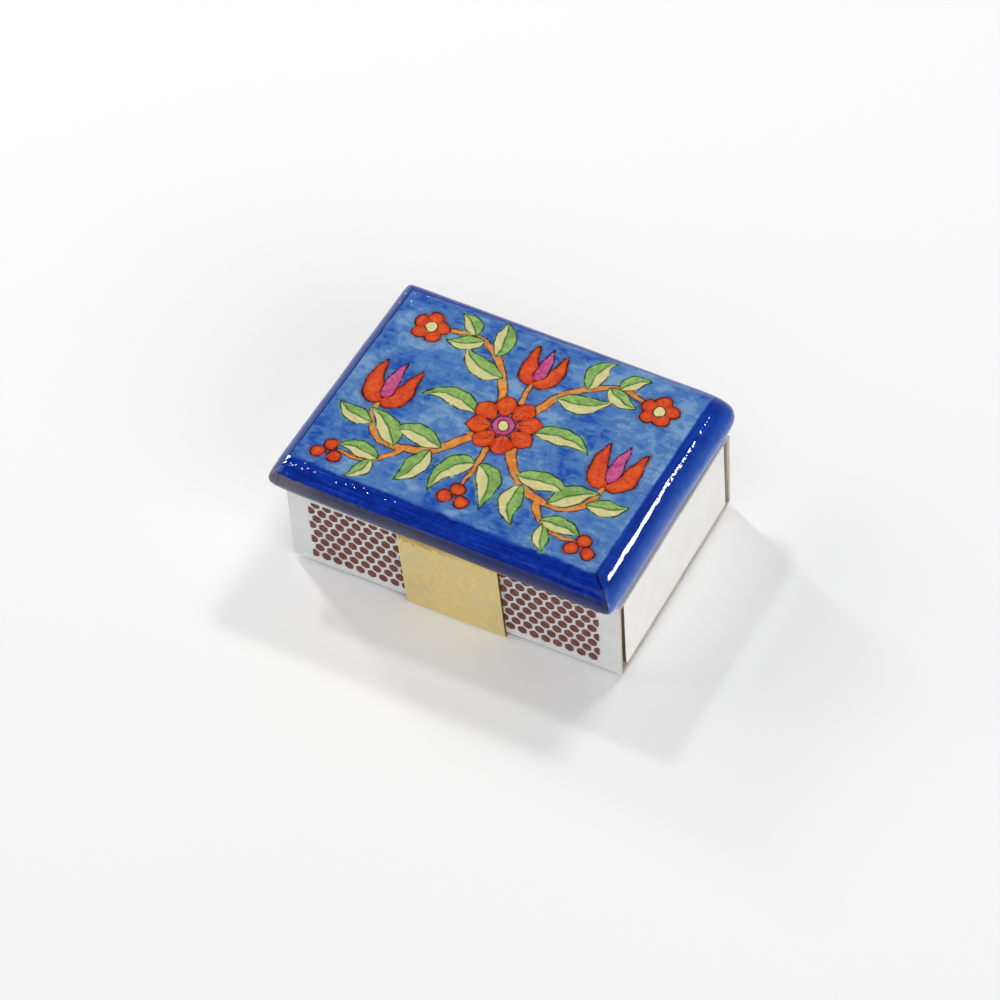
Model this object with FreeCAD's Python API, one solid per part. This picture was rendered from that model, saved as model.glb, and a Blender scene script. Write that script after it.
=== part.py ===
import FreeCAD, Part
import math
import os

from FreeCAD import Placement, Rotation, Vector

# A matchbox holder for the table: a painted wooden cover board with a bent brass clip screwed under it.
# The clip grips a small matchbox, which slides out endways, and the tray of matches slides in its sleeve.
# Sizes are in millimetres. X runs along the matchbox, Y across it towards the back, and Z up.
# The origin is on the table, under the middle of the cover board.

# Matchbox sleeve: one strip of card folded into a flat tube, with a glue lap inside its back wall.
SLEEVE_LENGTH = 53.0
SLEEVE_WIDTH = 36.0
SLEEVE_HEIGHT = 15.0
SLEEVE_CARD = 0.45
SLEEVE_FOLD_RADIUS = 0.15
GLUE_LAP_DEPTH = 9.0
BOX_REST_SHIFT = 0.4  # how far the box is pushed along the clip from its middle

# Striker: six-sided dots of striking compound printed on the two long sides of the sleeve.
STRIKER_END_MARGIN = 3.4
STRIKER_EDGE_MARGIN = 1.6
STRIKER_COAT = 0.04
DOT_PITCH = 1.87
DOT_ROW_PITCH = 1.58
DOT_GAP = 0.42
DOT_FIRST_ROW = 0.63  # from the lower border of the patch to the middle of its first row
DOT_LEAST_AREA = 0.06

# Matchbox tray: card folded up on four sides, with the two ends turned in double.
TRAY_CARD = 0.45
TRAY_FOLD_RADIUS = 0.15
TRAY_END_RECESS = 0.3
TRAY_SIDE_PLAY = 0.3
TRAY_SEAT_PLAY = 0.05
TRAY_TOP_PLAY = 0.45

# Matches: square splints, each with a dipped head, laid in layers that rise towards the heads.
MATCH_LAYERS = 3
SPLINT_SIDE = 1.8
HEAD_SKIN = 0.13
HEAD_COVER = 2.6
HEAD_NECK_SKIN = 0.03
MATCH_GAP = 0.2
MATCH_STACK_PLAY = 0.04
MATCH_END_ROOM = 7.6
MATCH_HEAD_ROOM = 1.2
MATCH_SCATTER = 0.7

# Brass clip: one strip bent into a C that is open below, with its two ends turned in under the box.
CLIP_STRIP_WIDTH = 16.0
CLIP_SHEET = 0.5
CLIP_BEND_RADIUS = 0.5
CLIP_LIP = 6.0
CLIP_SIDE_PLAY = 0.06
CLIP_SEAT_PLAY = 0.05
CLIP_TOP_PLAY = 0.25

# Cover board: flat wood that overhangs the box, with all four edges worked to half an oval.
BOARD_THICKNESS = 5.0
BOARD_END_OVERHANG = 1.0
BOARD_SIDE_OVERHANG = 3.0
BOARD_EDGE_REACH = 3.5  # how far in from the edge the rounding starts
BOARD_CORNER_RADIUS = 1.5

# Clip screws: small slotted countersunk screws, flush with the clip, driven up into the board.
SCREW_SPACING = 18.0
SCREW_HEAD_DIAMETER = 3.2
SCREW_SHANK_DIAMETER = 1.6
SCREW_POINT = 1.2
SCREW_WOOD_COVER = 1.4  # wood left between the point and the top of the board
SCREW_PLAY = 0.02
SLOT_WIDTH = 0.45
SLOT_DEPTH = 0.35

# Sizes that follow from the ones above.
sleeve_bottom = CLIP_SHEET + CLIP_SEAT_PLAY
sleeve_inside_width = SLEEVE_WIDTH - 2 * SLEEVE_CARD
sleeve_inside_height = SLEEVE_HEIGHT - 2 * SLEEVE_CARD
sleeve_inside_top = sleeve_bottom + SLEEVE_HEIGHT - SLEEVE_CARD

tray_length = SLEEVE_LENGTH - 2 * TRAY_END_RECESS
tray_width = sleeve_inside_width - 2 * (SLEEVE_CARD + TRAY_SIDE_PLAY)
tray_height = sleeve_inside_height - TRAY_SEAT_PLAY - TRAY_TOP_PLAY
tray_bottom = sleeve_bottom + SLEEVE_CARD + TRAY_SEAT_PLAY
tray_end_wall = 2 * TRAY_CARD
tray_inside_length = tray_length - 2 * tray_end_wall
tray_inside_width = tray_width - 2 * TRAY_CARD
tray_floor = tray_bottom + TRAY_CARD

clip_inside_width = SLEEVE_WIDTH + 2 * (STRIKER_COAT + CLIP_SIDE_PLAY)
clip_inside_height = CLIP_SEAT_PLAY + SLEEVE_HEIGHT + CLIP_TOP_PLAY
clip_width = clip_inside_width + 2 * CLIP_SHEET
clip_height = clip_inside_height + 2 * CLIP_SHEET

board_length = SLEEVE_LENGTH + 2 * BOARD_END_OVERHANG
board_width = SLEEVE_WIDTH + 2 * BOARD_SIDE_OVERHANG
board_bottom = clip_height
board_middle = board_bottom + BOARD_THICKNESS / 2

screw_length = CLIP_SHEET + BOARD_THICKNESS - SCREW_WOOD_COVER
screw_cone = (SCREW_HEAD_DIAMETER - SCREW_SHANK_DIAMETER) / 2

splint_length = tray_inside_length - MATCH_END_ROOM
splint_corner = SPLINT_SIDE / math.sqrt(2)
head_radius = splint_corner + HEAD_SKIN
head_neck_radius = splint_corner + HEAD_NECK_SKIN
match_pitch = 2 * head_radius + MATCH_GAP

LENGTHWAYS = Vector(1, 0, 0)
UPRIGHT = Vector(0, 0, 1)


def box_along(length, width, height, bottom, middle=0.0):
    """A box centred on Y = 0 and on X = middle, standing on the height bottom."""
    corner = Vector(middle - length / 2, -width / 2, bottom)
    return Part.makeBox(length, width, height, corner)


def round_edges(box, along, radius, only_below=math.inf):
    """The same box with its edges along one axis rounded: all four, or those lower than only_below."""
    chosen = [
        edge for edge in box.Edges
        if abs(edge.tangentAt(edge.FirstParameter).dot(along)) > 0.99 and edge.CenterOfMass.z < only_below
    ]
    return box.makeFillet(radius, chosen)


def oval_quarter(start, corner, end):
    """A quarter of an oval from start to end, inside the square corner between them."""
    pull = 4 / 3 * math.tan(math.pi / 8)  # handles that make a cubic curve follow a quarter circle
    quarter = Part.BezierCurve()
    quarter.setPoles([start, start + (corner - start) * pull, end + (corner - end) * pull, end])
    return quarter.toShape()


def oval_edged_slab(span, run):
    """A slab as thick as the board, run deep along Y, its edges at span apart worked to half an oval."""
    half = span / 2 - BOARD_EDGE_REACH
    rise = BOARD_THICKNESS / 2
    front = -run / 2
    edges = []
    for side in (1, -1):
        nose = Vector(side * span / 2, front, 0)
        shoulder = Vector(side * half, front, side * rise)
        heel = Vector(side * half, front, -side * rise)
        edges.append(Part.makeLine(Vector(-side * half, front, side * rise), shoulder))
        edges.append(oval_quarter(shoulder, Vector(nose.x, front, shoulder.z), nose))
        edges.append(oval_quarter(nose, Vector(nose.x, front, heel.z), heel))
    return Part.Face(Part.Wire(edges)).extrude(Vector(0, run, 0))


def screw_body(play):
    """A countersunk screw standing point up with its head face at height 0, grown all round by play."""
    head = SCREW_HEAD_DIAMETER / 2 + play
    shank = SCREW_SHANK_DIAMETER / 2 + play
    profile = Part.makePolygon([
        Vector(0, 0, 0),
        Vector(head, 0, 0),
        Vector(shank, 0, screw_cone),
        Vector(shank, 0, screw_length - SCREW_POINT),
        Vector(0, 0, screw_length + play),
        Vector(0, 0, 0),
    ])
    return Part.Face(profile).revolve(Vector(0, 0, 0), Vector(0, 0, 1), 360)


def at_each_screw(shape):
    """The shape once at each of the two screw places, its height 0 on the underside of the clip's web."""
    web_underside = clip_height - CLIP_SHEET
    return [
        shape.translated(Vector(0, side * SCREW_SPACING / 2, web_underside))
        for side in (-1, 1)
    ]


def make_cover_board():
    """The wooden board, round at its edges and corners, with a pilot hole for each screw."""
    across = oval_edged_slab(board_length, board_width)
    along = oval_edged_slab(board_width, board_length)
    along.rotate(Vector(0, 0, 0), Vector(0, 0, 1), 90)
    blank = box_along(board_length, board_width, BOARD_THICKNESS, -BOARD_THICKNESS / 2)
    round_cornered = round_edges(blank, UPRIGHT, BOARD_CORNER_RADIUS)
    board = across.common(along).common(round_cornered).translated(Vector(0, 0, board_middle))
    return board.cut(at_each_screw(screw_body(SCREW_PLAY)))


def make_brass_clip():
    """The C-shaped clip: a web against the board, two arms and two lips, with countersunk screw holes."""
    outside = round_edges(
        box_along(CLIP_STRIP_WIDTH, clip_width, clip_height, 0), LENGTHWAYS, CLIP_BEND_RADIUS + CLIP_SHEET
    )
    inside = round_edges(
        box_along(2 * CLIP_STRIP_WIDTH, clip_inside_width, clip_inside_height, CLIP_SHEET),
        LENGTHWAYS,
        CLIP_BEND_RADIUS,
    )
    mouth = box_along(2 * CLIP_STRIP_WIDTH, clip_inside_width - 2 * CLIP_LIP, 2 * CLIP_SHEET, -CLIP_SHEET / 2)
    return outside.cut([inside, mouth] + at_each_screw(screw_body(SCREW_PLAY)))


def make_clip_screws():
    """The two brass screws, each with a slot across its head."""
    slot = box_along(2 * SCREW_HEAD_DIAMETER, SLOT_WIDTH, 2 * SLOT_DEPTH, -SLOT_DEPTH)
    return at_each_screw(screw_body(0).cut(slot))


def make_matchbox_sleeve():
    """The card tube, with the lap of its blank glued inside the back wall."""
    outside = round_edges(
        box_along(SLEEVE_LENGTH, SLEEVE_WIDTH, SLEEVE_HEIGHT, sleeve_bottom, BOX_REST_SHIFT),
        LENGTHWAYS,
        SLEEVE_FOLD_RADIUS + SLEEVE_CARD,
    )
    inside = round_edges(
        box_along(
            2 * SLEEVE_LENGTH, sleeve_inside_width, sleeve_inside_height,
            sleeve_bottom + SLEEVE_CARD, BOX_REST_SHIFT,
        ),
        LENGTHWAYS,
        SLEEVE_FOLD_RADIUS,
    )
    lap_corner = Vector(
        BOX_REST_SHIFT - SLEEVE_LENGTH / 2,
        sleeve_inside_width / 2 - SLEEVE_CARD,
        sleeve_inside_top - GLUE_LAP_DEPTH,
    )
    lap = Part.makeBox(SLEEVE_LENGTH, SLEEVE_CARD, GLUE_LAP_DEPTH, lap_corner)
    return outside.cut(inside).fuse(lap).removeSplitter()


def clipped(points, axis, limit, sign):
    """The flat polygon's points, cut off where sign * coordinate passes sign * limit."""
    kept = []
    for start, end in zip(points, points[1:] + points[:1]):
        start_room = sign * (limit - start[axis])
        end_room = sign * (limit - end[axis])
        if start_room >= 0:
            kept.append(start)
        if start_room * end_room < 0:
            share = start_room / (start_room - end_room)
            kept.append(tuple(a + share * (b - a) for a, b in zip(start, end)))
    return kept


def polygon_area(points):
    """The area inside a flat polygon."""
    pairs = zip(points, points[1:] + points[:1])
    return abs(sum(a[0] * b[1] - b[0] * a[1] for a, b in pairs)) / 2


def striker_dots():
    """Outlines of the printed dots, cut off square at the border of the striking patch."""
    half_length = SLEEVE_LENGTH / 2 - STRIKER_END_MARGIN
    half_height = SLEEVE_HEIGHT / 2 - STRIKER_EDGE_MARGIN
    corner = (DOT_PITCH - DOT_GAP) / math.sqrt(3)
    rows = math.ceil(2 * half_height / DOT_ROW_PITCH) + 1
    columns = math.ceil(2 * half_length / DOT_PITCH) + 1
    outlines = []
    for row in range(rows):
        for column in range(columns):
            middle = (
                (column + 0.5 * (row % 2)) * DOT_PITCH - half_length,
                row * DOT_ROW_PITCH + DOT_FIRST_ROW - half_height,
            )
            turns = [math.pi * (2 * side + 1) / 6 for side in range(6)]
            dot = [
                (middle[0] + corner * math.cos(turn), middle[1] + corner * math.sin(turn))
                for turn in turns
            ]
            for axis, limit in ((0, half_length), (1, half_height)):
                for sign in (-1, 1):
                    dot = clipped(dot, axis, sign * limit, sign)
            if len(dot) > 2 and polygon_area(dot) > DOT_LEAST_AREA:
                outlines.append(dot)
    return outlines


def make_striker(side):
    """The printed dots on one long side of the sleeve: side is -1 for the front and 1 for the back."""
    wall = side * SLEEVE_WIDTH / 2
    middle_height = sleeve_bottom + SLEEVE_HEIGHT / 2
    dots = []
    for outline in striker_dots():
        corners = [Vector(x + BOX_REST_SHIFT, wall, z + middle_height) for x, z in outline]
        face = Part.Face(Part.makePolygon(corners + corners[:1]))
        dots.append(face.extrude(Vector(0, side * STRIKER_COAT, 0)))
    return dots


def make_matchbox_tray():
    """The open card tray, its ends two cards thick."""
    half_way = tray_bottom + tray_height / 2
    outside = round_edges(
        box_along(tray_length, tray_width, tray_height, tray_bottom, BOX_REST_SHIFT),
        LENGTHWAYS,
        TRAY_FOLD_RADIUS + TRAY_CARD,
        only_below=half_way,
    )
    inside = round_edges(
        box_along(tray_inside_length, tray_inside_width, tray_height, tray_floor, BOX_REST_SHIFT),
        LENGTHWAYS,
        TRAY_FOLD_RADIUS,
        only_below=half_way,
    )
    return outside.cut(inside)


def match_places(layer):
    """Where each match of a layer lies: its tail's lower edge, and the slope of the splint up to its head.

    Heads are fatter than splints, so each layer rises towards them: the tails lie one splint thick on each
    other, and the heads nest between the heads below.
    """
    head_step = math.sqrt((2 * head_radius) ** 2 - (match_pitch / 2) ** 2) + MATCH_STACK_PLAY
    tail_height = layer * (SPLINT_SIDE + MATCH_STACK_PLAY)
    head_height = head_radius - SPLINT_SIDE / 2 + layer * head_step + MATCH_STACK_PLAY
    slope = math.degrees(math.atan2(head_height - tail_height, splint_length - HEAD_COVER))
    tail_end = BOX_REST_SHIFT + tray_inside_length / 2 - MATCH_HEAD_ROOM - head_radius - splint_length
    count = int((tray_inside_width - match_pitch / 2 - 2 * head_radius) / match_pitch) + 1
    stagger = match_pitch / 4 * (-1) ** layer
    places = []
    for index in range(count):
        drift = MATCH_SCATTER * (math.sin(7.3 * index + 3.1 * layer) - 1)
        across = (index - (count - 1) / 2) * match_pitch + stagger
        tail = Vector(tail_end + drift, across, tray_floor + MATCH_STACK_PLAY + tail_height)
        places.append(Placement(tail, Rotation(Vector(0, 1, 0), -slope)))
    return places


def plain_splint():
    """A splint along X from its tail, its lower face at height 0."""
    return Part.makeBox(splint_length, SPLINT_SIDE, SPLINT_SIDE, Vector(0, -SPLINT_SIDE / 2, 0))


def plain_head():
    """The dipped head on the end of the plain splint: a round nose that narrows to the neck."""
    nose_set_back = 0.8 * math.sqrt(head_radius ** 2 - splint_corner ** 2)
    nose_middle = splint_length - nose_set_back
    neck = splint_length - HEAD_COVER
    axis = SPLINT_SIDE / 2
    bow = math.sqrt(0.5) * head_radius
    tip = Vector(nose_middle + head_radius, 0, axis)
    widest = Vector(nose_middle, 0, axis + head_radius)
    neck_edge = Vector(neck, 0, axis + head_neck_radius)
    neck_middle = Vector(neck, 0, axis)
    outline = Part.Wire([
        Part.Arc(tip, Vector(nose_middle + bow, 0, axis + bow), widest).toShape(),
        Part.makeLine(widest, neck_edge),
        Part.makeLine(neck_edge, neck_middle),
        Part.makeLine(neck_middle, tip),
    ])
    bulb = Part.Face(outline).revolve(neck_middle, Vector(1, 0, 0), 360)
    return bulb.cut(plain_splint())


def placed(shape, places):
    """A copy of the shape at each of the places."""
    copies = []
    for place in places:
        copy = shape.copy()
        copy.Placement = place
        copies.append(copy)
    return copies


def make_nodes():
    """Every piece of the holder and of its matchbox by name, each as a list of solids."""
    nodes = {
        "cover_board": [make_cover_board()],
        "brass_clip": [make_brass_clip()],
        "clip_screws": make_clip_screws(),
        "matchbox_sleeve": [make_matchbox_sleeve()],
        "striker_front": make_striker(-1),
        "striker_back": make_striker(1),
        "matchbox_tray": [make_matchbox_tray()],
    }
    splint = plain_splint()
    head = plain_head()
    for layer in range(MATCH_LAYERS):
        places = match_places(layer)
        nodes[f"match_splints_layer_{layer + 1}"] = placed(splint, places)
        nodes[f"match_heads_layer_{layer + 1}"] = placed(head, places)
    return nodes


os.makedirs("parts", exist_ok=True)
for name, pieces in make_nodes().items():
    shape = Part.makeCompound(pieces) if len(pieces) > 1 else pieces[0]
    shape.exportStep(f"parts/{name}.step")
    volume = sum(piece.Volume for piece in pieces)
    valid = all(piece.isValid() and len(piece.Solids) == 1 for piece in pieces)
    print(f"{name}: {len(pieces)} solids, {volume:.3f} mm3, valid {valid}")
print(f"overall {board_length:.2f} x {board_width:.2f} x {board_bottom + BOARD_THICKNESS:.2f} mm")
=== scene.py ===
# %% [markdown]
# # Dressing a matchbox holder
# The object is a small painted board with rounded edges. A bent brass clip under it grips a card
# matchbox, the matchbox slides out endways, and its tray slides in its sleeve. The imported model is
# loaded first, and every piece below takes its size and place from it. What has to look worked by hand
# is modelled here and stands for its plain solid: the board, the clip, the sleeve, its printed striker
# and the tray. The screws and matches keep their solids and get finishes of their own.

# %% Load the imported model
import math

import bmesh
import bpy
import numpy as np
from mathutils import Matrix, Quaternion, Vector


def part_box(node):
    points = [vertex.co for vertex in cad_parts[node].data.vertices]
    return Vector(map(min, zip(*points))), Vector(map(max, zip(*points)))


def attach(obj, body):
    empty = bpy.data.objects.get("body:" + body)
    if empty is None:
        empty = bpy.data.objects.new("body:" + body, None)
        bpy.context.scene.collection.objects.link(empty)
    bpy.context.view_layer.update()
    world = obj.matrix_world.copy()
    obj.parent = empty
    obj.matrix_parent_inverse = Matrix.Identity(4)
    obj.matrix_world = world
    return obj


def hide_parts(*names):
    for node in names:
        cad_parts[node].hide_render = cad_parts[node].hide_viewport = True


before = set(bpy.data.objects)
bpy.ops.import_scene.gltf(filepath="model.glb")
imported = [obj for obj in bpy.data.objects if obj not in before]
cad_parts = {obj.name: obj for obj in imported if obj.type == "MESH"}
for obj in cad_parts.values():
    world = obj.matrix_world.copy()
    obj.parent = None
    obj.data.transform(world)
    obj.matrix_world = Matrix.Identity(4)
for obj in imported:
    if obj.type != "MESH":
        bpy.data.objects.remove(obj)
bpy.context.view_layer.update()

MM = 0.001
TOUCH = 0.001 * MM
ALONG = 0.9
print("nodes:", sorted(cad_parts))

# %% [markdown]
# ## Working in edit mode from a script
# By hand you click on faces and edges. Here `pick` selects them by where they are and which way they
# face, and the usual operators then act on that selection. `start_clean` matters more than it looks: an
# operator acts on all that is selected, and the loaded model comes in selected. A direction counts as
# along an axis when more than `ALONG` of it lies on that axis, and two places count as one when they
# are less than `TOUCH` apart.


# %% Helpers for modelling
def start_clean():
    """Go to object mode with nothing selected."""
    if bpy.context.mode != "OBJECT":
        bpy.ops.object.mode_set(mode="OBJECT")
    bpy.ops.object.select_all(action="DESELECT")


def name_piece(name):
    """Name the object that was just added, and its mesh."""
    piece = bpy.context.object
    piece.name = name
    piece.data.name = name
    return piece


def add_block(name, size, middle):
    """Add a cube of this size at this place, and stay in edit mode with all of it selected."""
    start_clean()
    bpy.ops.mesh.primitive_cube_add(size=1)
    piece = name_piece(name)
    bpy.ops.object.mode_set(mode="EDIT")
    bpy.ops.mesh.select_all(action="SELECT")
    bpy.ops.transform.resize(value=size, center_override=(0, 0, 0))
    bpy.ops.transform.translate(value=middle)
    return piece


def middle_and_run(element):
    """The middle of a vertex, edge or face, and its normal or, for an edge, its direction."""
    if isinstance(element, bmesh.types.BMVert):
        return element.co, element.normal
    if isinstance(element, bmesh.types.BMEdge):
        start, end = (vert.co for vert in element.verts)
        return (start + end) / 2, (end - start).normalized()
    return element.calc_center_median(), element.normal


def pick(piece, kind, test):
    """In edit mode, select just the VERT, EDGE or FACE elements whose test(middle, run) is true."""
    bpy.ops.mesh.select_mode(type=kind)
    bpy.ops.mesh.select_all(action="DESELECT")
    mesh = bmesh.from_edit_mesh(piece.data)
    elements = {"VERT": mesh.verts, "EDGE": mesh.edges, "FACE": mesh.faces}[kind]
    picked = [element for element in elements if test(*middle_and_run(element))]
    for element in picked:
        element.select_set(True)
    mesh.select_flush_mode()
    bmesh.update_edit_mesh(piece.data)
    return len(picked)


def apply_modifier(piece, kind, **settings):
    """Add a modifier with these settings and apply it."""
    start_clean()
    bpy.context.view_layer.objects.active = piece
    modifier = piece.modifiers.new(kind.title(), kind)
    for key, value in settings.items():
        setattr(modifier, key, value)
    bpy.ops.object.modifier_apply(modifier=modifier.name)


def smooth(piece, degrees):
    """Shade smooth, with a crease where faces meet at more than this angle."""
    start_clean()
    piece.select_set(True)
    bpy.context.view_layer.objects.active = piece
    bpy.ops.object.shade_smooth_by_angle(angle=math.radians(degrees))


def report(piece):
    """Print what a finished piece measures."""
    size = [f"{side / MM:.2f}" for side in piece.dimensions]
    print(piece.name, " x ".join(size), "mm,", len(piece.data.polygons), "faces")


# %% [markdown]
# ## Small words for shader nodes
# A finish is a graph of nodes. These helpers add a node or two and return the output, so that a finish
# below reads like a recipe. Lengths inside a finish are millimetres: `millimetres` turns Object
# coordinates into them.


# %% Helpers for finishes
def srgb(red, green, blue):
    """A colour as seen on screen, 0 to 255, turned into the linear value that a shader takes."""
    parts = [value / 255 for value in (red, green, blue)]
    linear = [part / 12.92 if part <= 0.04045 else ((part + 0.055) / 1.055) ** 2.4 for part in parts]
    return (*linear, 1.0)


def feed(tree, node, inputs):
    """Link or set these inputs of a node."""
    for key, value in inputs.items():
        if isinstance(value, bpy.types.NodeSocket):
            tree.links.new(value, node.inputs[key])
        else:
            node.inputs[key].default_value = value


def add(tree, kind, inputs=None, **settings):
    """Add a node, set it up, and feed its inputs."""
    node = tree.nodes.new(kind)
    for key, value in settings.items():
        setattr(node, key, value)
    feed(tree, node, inputs or {})
    return node


def new_finish(name):
    """A new material with one Principled shader; gives the material, its node tree and the shader."""
    finish = bpy.data.materials.new(name)
    finish.use_nodes = True
    return finish, finish.node_tree, finish.node_tree.nodes["Principled BSDF"]


def millimetres(tree):
    """Object coordinates in millimetres."""
    place = add(tree, "ShaderNodeTexCoord").outputs["Object"]
    return add(tree, "ShaderNodeVectorMath", {0: place, "Scale": 1000.0}, operation="SCALE").outputs[0]


def axes(tree, place):
    """The x, y and z of a vector."""
    return add(tree, "ShaderNodeSeparateXYZ", {0: place}).outputs


def stretch(tree, place, scale, turn=0.0):
    """The place with its axes scaled, after a turn about Z in degrees, to draw a pattern out."""
    return add(
        tree, "ShaderNodeMapping",
        {"Vector": place, "Scale": scale, "Rotation": (0.0, 0.0, math.radians(turn))},
    ).outputs[0]


def noise(tree, place, scale, detail=3.0, roughness=0.5, distortion=0.0):
    """Cloudy noise from 0 to 1, mostly near 0.5."""
    return add(
        tree, "ShaderNodeTexNoise",
        {
            "Vector": place, "Scale": scale, "Detail": detail,
            "Roughness": roughness, "Distortion": distortion,
        },
    ).outputs[0]


def ramp(tree, value, start, end, low=0.0, high=1.0):
    """Go smoothly from low to high as the value goes from start to end."""
    return add(
        tree, "ShaderNodeMapRange",
        {0: value, 1: start, 2: end, 3: low, 4: high},
        interpolation_type="SMOOTHSTEP",
    ).outputs[0]


def calc(tree, operation, first, second=0.0):
    """One step of arithmetic."""
    return add(tree, "ShaderNodeMath", {0: first, 1: second}, operation=operation).outputs[0]


def times(tree, *values):
    """All these numbers multiplied together."""
    result = values[0]
    for value in values[1:]:
        result = calc(tree, "MULTIPLY", result, value)
    return result


def over(tree, share, below, above):
    """Lay one colour over another."""
    return add(tree, "ShaderNodeMix", {0: share, 6: below, 7: above}, data_type="RGBA").outputs[2]


def attribute(tree, name):
    """A number stored on the mesh."""
    return add(tree, "ShaderNodeAttribute", attribute_name=name).outputs["Fac"]


def bump(tree, height, distance, strength=1.0, under=None):
    """A normal tipped by a height from 0 to 1 that stands for this many millimetres."""
    inputs = {"Height": height, "Distance": distance * MM, "Strength": strength}
    if under is not None:
        inputs["Normal"] = under
    return add(tree, "ShaderNodeBump", inputs).outputs[0]


# %% [markdown]
# ## Camera
# The photograph was taken with a long lens from the front right, high up. The focal length and the
# angles come from fitting the known corners of the matchbox and board. The camera's axes are worked out
# from azimuth, elevation and a small roll, and go into its matrix as columns.

# %% Place the camera
CAMERA_LENS = 154.98
CAMERA_AZIMUTH = math.radians(30.046)
CAMERA_ELEVATION = math.radians(49.506)
CAMERA_ROLL = math.radians(-3.773)
CAMERA_DISTANCE = 617.66 * MM
CAMERA_TARGET = Vector((0.617, -3.508, 10.55)) * MM

back = Vector((
    math.sin(CAMERA_AZIMUTH) * math.cos(CAMERA_ELEVATION),
    -math.cos(CAMERA_AZIMUTH) * math.cos(CAMERA_ELEVATION),
    math.sin(CAMERA_ELEVATION),
))
level_right = Vector((math.cos(CAMERA_AZIMUTH), math.sin(CAMERA_AZIMUTH), 0))
level_up = back.cross(level_right)
right = level_right * math.cos(CAMERA_ROLL) + level_up * math.sin(CAMERA_ROLL)
up = level_up * math.cos(CAMERA_ROLL) - level_right * math.sin(CAMERA_ROLL)

start_clean()
bpy.ops.object.camera_add()
camera = bpy.context.object
camera.matrix_world = Matrix.Translation(CAMERA_TARGET + back * CAMERA_DISTANCE) @ Matrix(
    (right, up, back)
).transposed().to_4x4()
camera.data.lens = CAMERA_LENS
camera.data.sensor_width = 36
camera.data.clip_start = 10 * MM
bpy.context.scene.camera = camera
print("camera at", [f"{value / MM:.1f}" for value in camera.matrix_world.translation])

# %% [markdown]
# ## Floor, world and lamps
# Lacquer is a mirror, so the surroundings are part of the finish. The top of the board stays deep in
# colour only if what it mirrors is dark, so the ceiling is dim. In front a pale screen ends in a crisp
# line, which shows low on the front edge, and a gap in it keeps the right half of that edge dark.
# Behind, a pale wall fades out upwards and to the left, which gives the right edge its soft haze. Wide
# lamps at the left, the right and above light the object where the lacquer doesn't mirror them, each
# weak enough that the white card keeps its tone on every side. A narrow strip behind, hung a little
# askew, draws the slanting streak along the right edge. Two small lamps make the sparkles on the front
# edge, where specks under the lacquer catch one of them, and the glint on its left corner.

# %% Set the stage
bpy.context.scene.view_settings.view_transform = "Standard"

start_clean()
bpy.ops.mesh.primitive_plane_add(size=4, location=(0, 0, -0.05 * MM))
floor = name_piece("pale_floor")
floor_finish, tree, shader = new_finish("pale paper")
feed(tree, shader, {"Base Color": (0.96, 0.96, 0.96, 1), "Roughness": 0.9, "Specular IOR Level": 0.1})
floor.data.materials.append(floor_finish)

FRONT_GLOW = 0.75
BACK_GLOW = 0.64
CEILING_GLOW = 0.08
SCREEN_TOP = (0.52, 0.58)
GAP_STARTS = (-0.345, -0.295)
GAP_ENDS = (-0.26, -0.20)
GAP_GLOW = 0.4
world = bpy.data.worlds.new("studio")
bpy.context.scene.world = world
world.use_nodes = True
tree = world.node_tree
towards = axes(tree, add(tree, "ShaderNodeTexCoord").outputs["Generated"])
screen_gap = calc(
    tree, "MAXIMUM",
    ramp(tree, towards["X"], *GAP_STARTS, 1.0, GAP_GLOW), ramp(tree, towards["X"], *GAP_ENDS, GAP_GLOW, 1.0),
)
front_glow = times(tree, ramp(tree, towards["Z"], *SCREEN_TOP, FRONT_GLOW, CEILING_GLOW), screen_gap)
left_fade = ramp(tree, towards["X"], -0.75, -0.35, 0.5, 1.0)
back_glow = times(tree, ramp(tree, towards["Z"], 0.10, 0.55, BACK_GLOW, CEILING_GLOW), left_fade)
behind = ramp(tree, towards["Y"], -0.2, 0.3)
glow = add(tree, "ShaderNodeMix", {0: behind, 2: front_glow, 3: back_glow}, data_type="FLOAT").outputs[0]
seen = add(tree, "ShaderNodeLightPath").outputs["Is Camera Ray"]
strength = add(tree, "ShaderNodeMix", {0: seen, 2: glow, 3: 1.0}, data_type="FLOAT").outputs[0]
feed(tree, tree.nodes["Background"], {"Strength": strength, "Color": (1, 1, 1, 1)})


def add_lamp(name, towards, distance, width, height, watts, turn=0.0):
    """A lamp in this direction from the object, facing it: its width is level until it is turned."""
    place = Vector(towards).normalized() * distance
    facing = place.to_track_quat("Z", "Y") @ Quaternion((0, 0, 1), math.radians(turn))
    start_clean()
    bpy.ops.object.light_add(type="AREA", location=place)
    lamp = bpy.context.object
    lamp.name = name
    lamp.rotation_euler = facing.to_euler()
    lamp.data.shape = "RECTANGLE"
    lamp.data.size = width
    lamp.data.size_y = height
    lamp.data.energy = watts


add_lamp("right_lamp", (0.80, -0.42, 0.42), distance=0.9, width=0.6, height=0.6, watts=2.35)
add_lamp("left_lamp", (-0.84, -0.10, 0.54), distance=0.9, width=0.6, height=0.6, watts=2.0)
add_lamp("top_lamp", (0.40, -0.35, 0.85), distance=0.9, width=1.2, height=1.2, watts=2.4)
add_lamp(
    "streak_lamp", (0.144, 0.543, 0.839), distance=0.707, width=0.16, height=0.072, watts=1.15, turn=-6
)
add_lamp("sparkle_lamp", (-0.485, 0.27, 0.83), distance=0.72, width=0.06, height=0.06, watts=0.8)
add_lamp("corner_lamp", (-0.765, 0.415, 0.494), distance=0.72, width=0.07, height=0.16, watts=0.8)

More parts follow.
